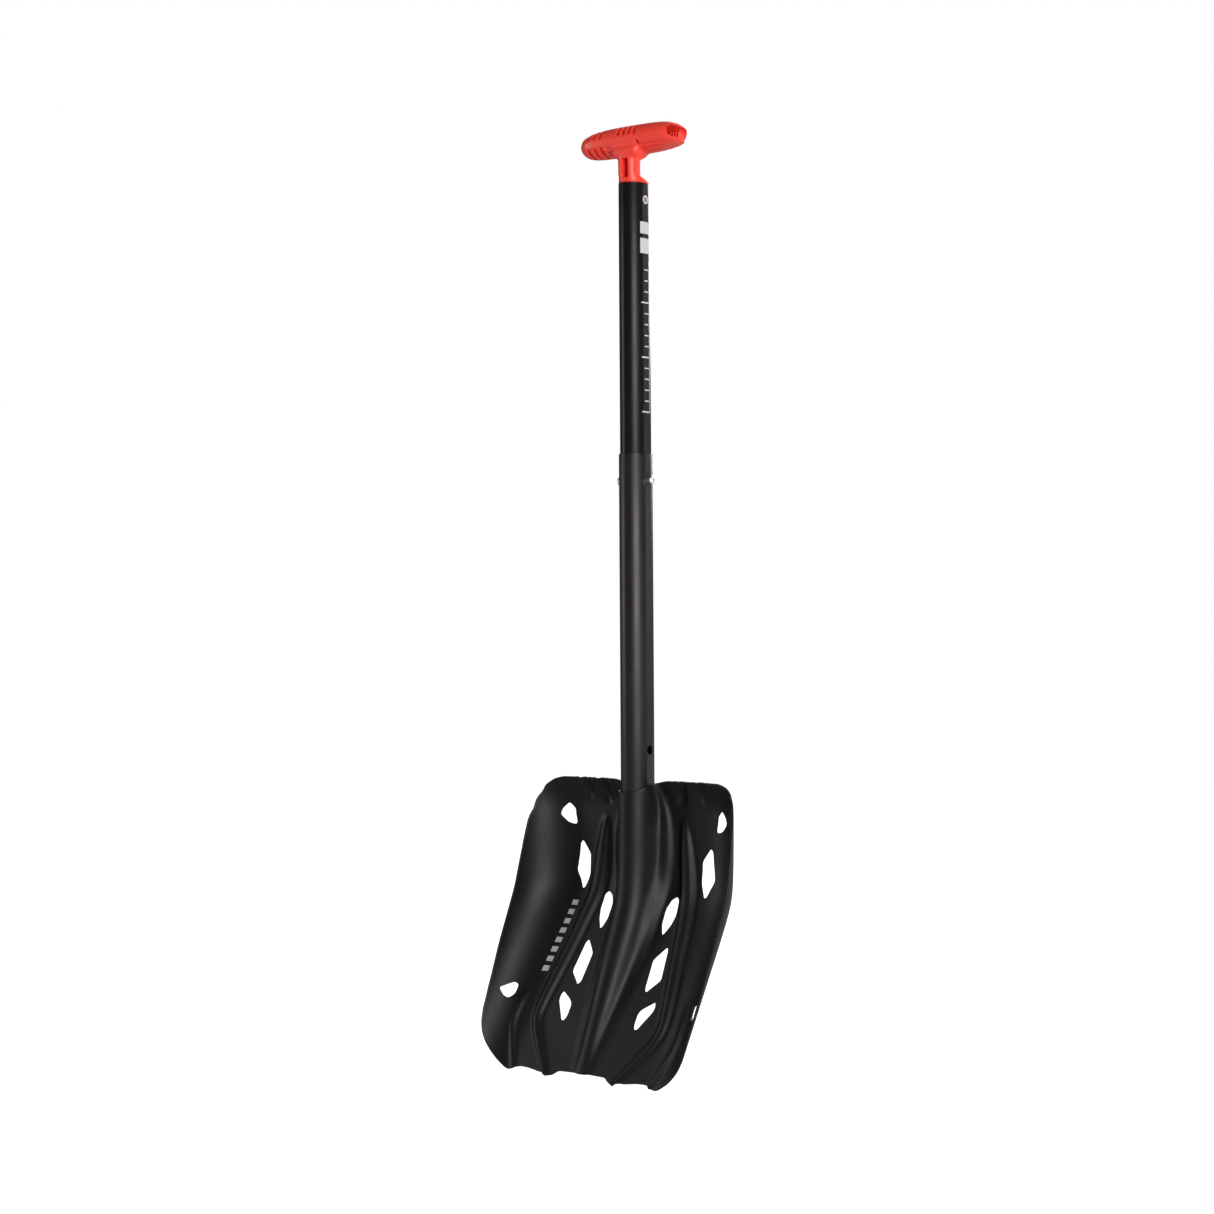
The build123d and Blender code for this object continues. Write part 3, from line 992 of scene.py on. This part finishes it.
@dataclass
class Blade:
    """The ribbed sheet with its cut-outs."""

    sheet: float = 2.0
    pitch: float = 1.5
    form: BladeForm = field(default_factory=BladeForm)
    mouth: tuple = ((0, -598.0), (8, -597.4), (13, -594.8), (16.4, -591.5), (21, -589.6), (30, -588.0))
    notch: tuple = ((0, -598.0), (8, -597.6), (13, -596.5), (16.6, -596.8), (18.2, -597.6), (20.6, -596.4),
                    (22.0, -589.4), (30, -588.0))
    crown: tuple = ((88, -588), (97, -590.4), (104.5, -596.4), (109.2, -606), (112.0, -618))
    foot: tuple = ((113.6, -806), (111.2, -816), (107.4, -824.5), (102, -832), (95, -839.0), (87, -844.6),
                   (81.5, -847), (77, -845.4), (70, -843.0), (60, -843.4), (40, -846.4), (34, -847.0),
                   (30.5, -845.6), (26.5, -842.4), (14, -842.0))
    holes: tuple = (
        ((86.5, -612.3), (80.5, -618.5), (78.8, -632), (82, -633), (88.0, -631), (94.5, -624),
         (92.5, -618)),
        ((72.5, -647.3), (75.8, -650), (78.6, -676), (70.4, -692), (67.4, -691.5), (63.2, -679),
         (63.4, -660)),
        ((38.8, -692.3), (41.8, -695), (43.2, -708), (41.5, -716), (36.2, -725.6), (33.6, -724),
         (30.6, -716), (30.4, -703), (33.5, -695.5)),
        ((44.3, -734.3), (47, -737), (50.4, -762), (38.6, -773.2), (35.6, -770), (33.8, -746)),
        ((51.8, -779.0), (53.8, -782), (53.6, -787), (42.8, -803), (39.2, -803), (37.2, -799),
         (37.2, -789.5), (40, -786)),
        ((110.6, -779), (102, -774.5), (98.4, -777), (98.8, -785), (102.4, -788.6), (106.6, -786)),
    )

    def build(self, mat: bpy.types.Material) -> bpy.types.Object:
        """Models the sheet.

        Args:
            mat: its material.

        Returns:
            The blade.
        """
        layout = BladeLayout(self.form)
        loops = [self._outline(layout)] + self._cutouts(layout)
        places, faces = self._mesh(layout, loops)
        mesh = bpy.data.meshes.new("sheet_blade")
        mesh.from_pydata(places, [], faces)
        mesh.validate()
        blade = bpy.data.objects.new("sheet_blade", mesh)
        bpy.context.scene.collection.objects.link(blade)
        Workbench.only(blade)
        bpy.ops.object.mode_set(mode="EDIT")
        bpy.ops.mesh.select_all(action="SELECT")
        bpy.ops.mesh.delete_loose()
        bpy.ops.mesh.select_all(action="SELECT")
        bpy.ops.mesh.normals_make_consistent(inside=False)
        bpy.ops.mesh.select_all(action="DESELECT")
        bpy.ops.mesh.select_non_manifold(extend=False)
        bpy.ops.mesh.select_all(action="INVERT")
        bpy.ops.mesh.vertices_smooth(factor=0.5, repeat=4)
        bpy.ops.object.mode_set(mode="OBJECT")
        up = sum((p.normal.y * p.area for p in mesh.polygons))
        Workbench.modify(blade, "SOLIDIFY", thickness=self.sheet * MM, offset=-1.0 if up < 0 else 1.0,
                         use_quality_normals=True)
        Workbench.modify(blade, "BEVEL", width=0.35 * MM, segments=2, limit_method="ANGLE",
                         angle_limit=math.radians(60))
        Workbench.only(blade)
        bpy.ops.object.mode_set(mode="EDIT")
        bpy.ops.mesh.select_all(action="SELECT")
        bpy.ops.mesh.normals_make_consistent(inside=False)
        bpy.ops.object.mode_set(mode="OBJECT")
        Workbench.smooth(blade, 40)
        Workbench.dress(blade, mat, Body.BLADE, "blade_anodised", "blade")
        return blade

    @staticmethod
    def _rounded(points: list, radius: float) -> list:
        """Rounds the corners of a closed loop.

        Args:
            points: the corners.
            radius: how far along each side the rounding starts, at most.

        Returns:
            The loop's points.
        """
        out = []
        for i, here in enumerate(points):
            a, p, b = (Vector(q) for q in (points[i - 1], here, points[(i + 1) % len(points)]))
            reach_a = min(radius, (a - p).length * 0.45)
            reach_b = min(radius, (b - p).length * 0.45)
            start = p + (a - p).normalized() * reach_a
            end = p + (b - p).normalized() * reach_b
            for k in range(5):
                t = k / 4
                out.append(tuple(start * (1 - t) ** 2 + p * (2 * t * (1 - t)) + end * t * t))
        return out

    @staticmethod
    def _even(points: list, step: float) -> list:
        """Spreads points evenly round a closed loop.

        Args:
            points: the loop.
            step: distance between points.

        Returns:
            The new loop.
        """
        ring = np.array(points + [points[0]], float)
        length = np.concatenate([[0], np.cumsum(np.hypot(*np.diff(ring, axis=0).T))])
        at = np.linspace(0, length[-1], max(12, int(length[-1] / step)), endpoint=False)
        return list(zip(np.interp(at, length, ring[:, 0]), np.interp(at, length, ring[:, 1])))

    def _outline(self, layout: BladeLayout) -> list:
        """The blade's edge laid out flat.

        Args:
            layout: the layout.

        Returns:
            The loop.
        """
        side = [(layout.edge(z), z) for z in range(-628, -800, -6)]
        side += [layout.unroll(x, z) for x, z in self.foot]
        right = [layout.unroll(x, z) for x, z in self.mouth + self.crown] + side
        left = [layout.unroll(x, z) for x, z in self.notch + self.crown] + side
        loop = right + [(-s, z) for s, z in reversed(left[1:])]
        return self._even(self._rounded(loop, 3.0), 1.1)

    def _cutouts(self, layout: BladeLayout) -> list:
        """The cut-outs laid out flat.

        Args:
            layout: the layout.

        Returns:
            The loops.
        """
        found = []
        for hole in self.holes:
            for side in Side:
                loop = [layout.unroll(side.value * x, z) for x, z in hole]
                found.append(self._even(self._rounded(loop, 2.2), 0.9))
        return found

    def _mesh(self, layout: BladeLayout, loops: list) -> tuple[list, list]:
        """Fills the outline with an even net of triangles, leaving out the cut-outs.

        Args:
            layout: the layout.
            loops: the outline and then the cut-outs.

        Returns:
            Places and faces.
        """
        points, edges = [], []
        for loop in loops:
            first = len(points)
            points += loop
            edges += [(first + i, first + (i + 1) % len(loop)) for i in range(len(loop))]
        ring = np.array(points)
        outer = np.array(loops[0])
        fixed = len(points)
        inside = []
        for z in np.arange(-586, -848, -self.pitch):
            reach = layout.edge(float(z)) + 1
            across = np.arange(0, reach, self.pitch)
            across = np.concatenate([-across[:0:-1], across])
            row = np.column_stack([across, np.full_like(across, z)])
            near = ring[np.abs(ring[:, 1] - z) < self.pitch]
            if len(near):
                gaps = np.hypot(row[:, :1] - near[:, 0], row[:, 1:] - near[:, 1]).min(axis=1)
                row = row[gaps > self.pitch * 0.6]
            inside += [tuple(map(float, p)) for p in row[self._inside(outer, row)]]
        points += inside
        verts, _, faces, _, _, _ = delaunay_2d_cdt([Vector(p) for p in points], edges, [], 0, 1e-5)
        hulls = [np.array(loop) for loop in loops]
        flat = np.array([tuple(v) for v in verts])
        middles = flat[np.array(faces)].mean(axis=1)
        keep = self._inside(hulls[0], middles)
        for hull in hulls[1:]:
            keep &= ~self._inside(hull, middles)
        kept = [tuple(face) for face, k in zip(faces, keep) if k]
        log.info("sheet laid out with %d edge points and %d faces", fixed, len(kept))
        return layout.roll([tuple(v) for v in verts]), kept

    @staticmethod
    def _inside(loop: np.ndarray, points: np.ndarray) -> np.ndarray:
        """Whether points lie inside a closed loop.

        Args:
            loop: the loop's points.
            points: the points tested, one a row.

        Returns:
            True for each point inside.
        """
        inside = np.zeros(len(points), bool)
        for (ax, ay), (bx, by) in zip(loop, np.roll(loop, -1, axis=0)):
            if ay != by:
                across = (ay > points[:, 1]) != (by > points[:, 1])
                inside ^= across & (points[:, 0] < ax + (points[:, 1] - ay) * (bx - ax) / (by - ay))
        return inside


# ---------------------------------------------------------------- studio


@dataclass
class Studio:
    """Camera, pale floor and soft lights."""

    azimuth: float = 37.011
    distance: float = 2.0636
    shift: float = -0.02725
    height: float = -0.42827
    roll: float = 0.354
    lens: float = 66.583
    floor_z: float = -0.8505
    floor_glow: float = 0.95
    ambient: float = 0.12
    boxes: tuple = (
        ("key", 24.0, 3.0, 2.6, 1.25, 2.8, 8.4),
        ("side", -94.0, 0.0, 2.2, 0.5, 2.4, 5.0),
        ("edge", 104.0, 4.0, 2.2, 0.3, 2.4, 3.0),
        ("back", 155.0, 30.0, 2.4, 1.4, 1.6, 7.0),
    )

    def build(self) -> None:
        """Sets the studio up."""
        self._camera()
        self._floor()
        self._lights()

    def _camera(self) -> None:
        """Places the camera."""
        a, r = math.radians(self.azimuth), math.radians(self.roll)
        ahead = Vector((-math.sin(a), math.cos(a), 0))
        right = Vector((math.cos(a), math.sin(a), 0))
        up = Vector((0, 0, 1))
        place = -ahead * self.distance + right * self.shift + up * self.height
        side = right * math.cos(r) - up * math.sin(r)
        top = right * math.sin(r) + up * math.cos(r)
        turn = Matrix((side, top, -ahead)).transposed()
        bpy.ops.object.camera_add(location=place, rotation=turn.to_euler())
        camera = bpy.context.object
        camera.data.lens = self.lens
        camera.data.sensor_width = 36
        camera.data.clip_end = 60
        bpy.context.scene.camera = camera

    def _floor(self) -> None:
        """Adds the pale floor, kept pale all the way to the horizon."""
        bpy.ops.mesh.primitive_plane_add(size=60, location=(0, 0, self.floor_z))
        floor = bpy.context.object
        floor.name = "floor"
        mat = bpy.data.materials.new("floor")
        mat.use_nodes = True
        tree = mat.node_tree
        shader = tree.nodes["Principled BSDF"]
        shader.inputs["Base Color"].default_value = (0.5, 0.5, 0.5, 1)
        shader.inputs["Roughness"].default_value = 0.9
        shader.inputs["Specular IOR Level"].default_value = 0.0
        shader.inputs["Emission Color"].default_value = (1, 1, 1, 1)
        rays = tree.nodes.new("ShaderNodeLightPath")
        glow = tree.nodes.new("ShaderNodeMath")
        glow.operation = "MULTIPLY"
        glow.inputs[1].default_value = self.floor_glow
        tree.links.new(rays.outputs["Is Camera Ray"], glow.inputs[0])
        tree.links.new(glow.outputs[0], shader.inputs["Emission Strength"])
        floor.data.materials.append(mat)

    def _lights(self) -> None:
        """Adds the white surround and the soft boxes."""
        world = bpy.data.worlds.new("studio")
        world.use_nodes = True
        tree = world.node_tree
        sky = tree.nodes["Background"]
        sky.inputs["Color"].default_value = (1, 1, 1, 1)
        rays = tree.nodes.new("ShaderNodeLightPath")
        level = tree.nodes.new("ShaderNodeMapRange")
        level.inputs["To Min"].default_value = self.ambient
        level.inputs["To Max"].default_value = 1.0
        tree.links.new(rays.outputs["Is Camera Ray"], level.inputs["Value"])
        tree.links.new(level.outputs["Result"], sky.inputs["Strength"])
        bpy.context.scene.world = world
        for box in self.boxes:
            self._soft_box(*box)
        bpy.context.scene.view_settings.view_transform = "Standard"

    def _soft_box(self, name: str, turn: float, rise: float, far: float, wide: float, tall: float,
                  glow: float) -> None:
        """Adds one soft box aimed at the middle of the shovel.

        Args:
            name: its name.
            turn: degrees to the right of the camera, seen from the shovel.
            rise: degrees above level.
            far: distance in metres.
            wide: its width in metres.
            tall: its height in metres.
            glow: its radiance.
        """
        aim = Vector((0, 0, -0.43))
        level = math.radians(self.azimuth - 90 + turn)
        up = math.radians(rise)
        way = Vector((math.cos(level) * math.cos(up), math.sin(level) * math.cos(up), math.sin(up)))
        bpy.ops.object.light_add(type="AREA", location=aim + way * far)
        lamp = bpy.context.object
        lamp.name = name
        lamp.data.shape = "RECTANGLE"
        lamp.data.size, lamp.data.size_y = wide, tall
        lamp.data.energy = glow * math.pi * wide * tall
        lamp.rotation_euler = (-way).to_track_quat("-Z", "Y").to_euler()


# ---------------------------------------------------------------- whole


class Shovel:
    """The whole object: new skins over the frame, and finishes for the nodes it keeps."""

    def __init__(self, frame: dict) -> None:
        """Keeps the frame.
        """
        self.frame = frame

    def build(self) -> None:
        """Models and dresses everything."""
        Grip().build(GRIP_RED.build())
        upper = Tube("upper_shaft_tube", "upper_tube", *UPPER_HALF, wall=1.2, low=-334.0,
                     high=COLLAR_Z, body=Body.UPPER, slot_name="upper_anodised",
                     side_holes=(RIVET_Z, SNAP_Z), hole_radius=RIVET_HOLE)
        lower = Tube("lower_shaft_tube", "lower_tube", half_width=14.2, half_depth=17.7, wall=1.1,
                     low=-672.0, high=-288.2, body=Body.LOWER, slot_name="lower_anodised",
                     side_holes=(SNAP_Z, STOWED_SNAP_Z), back_holes=(LOCK_Z,))
        upper.build(UPPER_BLACK.build())
        lower.build(LOWER_BLACK.build())
        blade_mat = BLADE_BLACK.build()
        Blade().build(blade_mat)
        weld = WELD_METAL.build()
        chrome, steel, plastic = CHROME.build(), SPRING_STEEL.build(), PLUG_PLASTIC.build()
        kept = {
            "grip_rivet": BARE_METAL.build(), "left_snap_button": chrome, "right_snap_button": chrome,
            "blade_lock_button": chrome, "telescope_spring": steel, "blade_lock_spring": steel,
            "upper_tube_plug": plastic, "lower_tube_plug": plastic, "back_sleeve": blade_mat,
            "sleeve_welds": weld,
        }
        for node, mat in kept.items():
            piece = self.frame["nodes"][node]
            piece.data.materials.clear()
            piece.data.materials.append(mat)
            log.info("finish on %s", node)


def main() -> None:
    """Builds the picture."""
    logging.basicConfig(level=logging.INFO, format="%(name)s: %(message)s", stream=sys.stdout)
    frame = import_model()
    Shovel(frame).build()
    Studio().build()


if __name__ == "__main__":
    main()
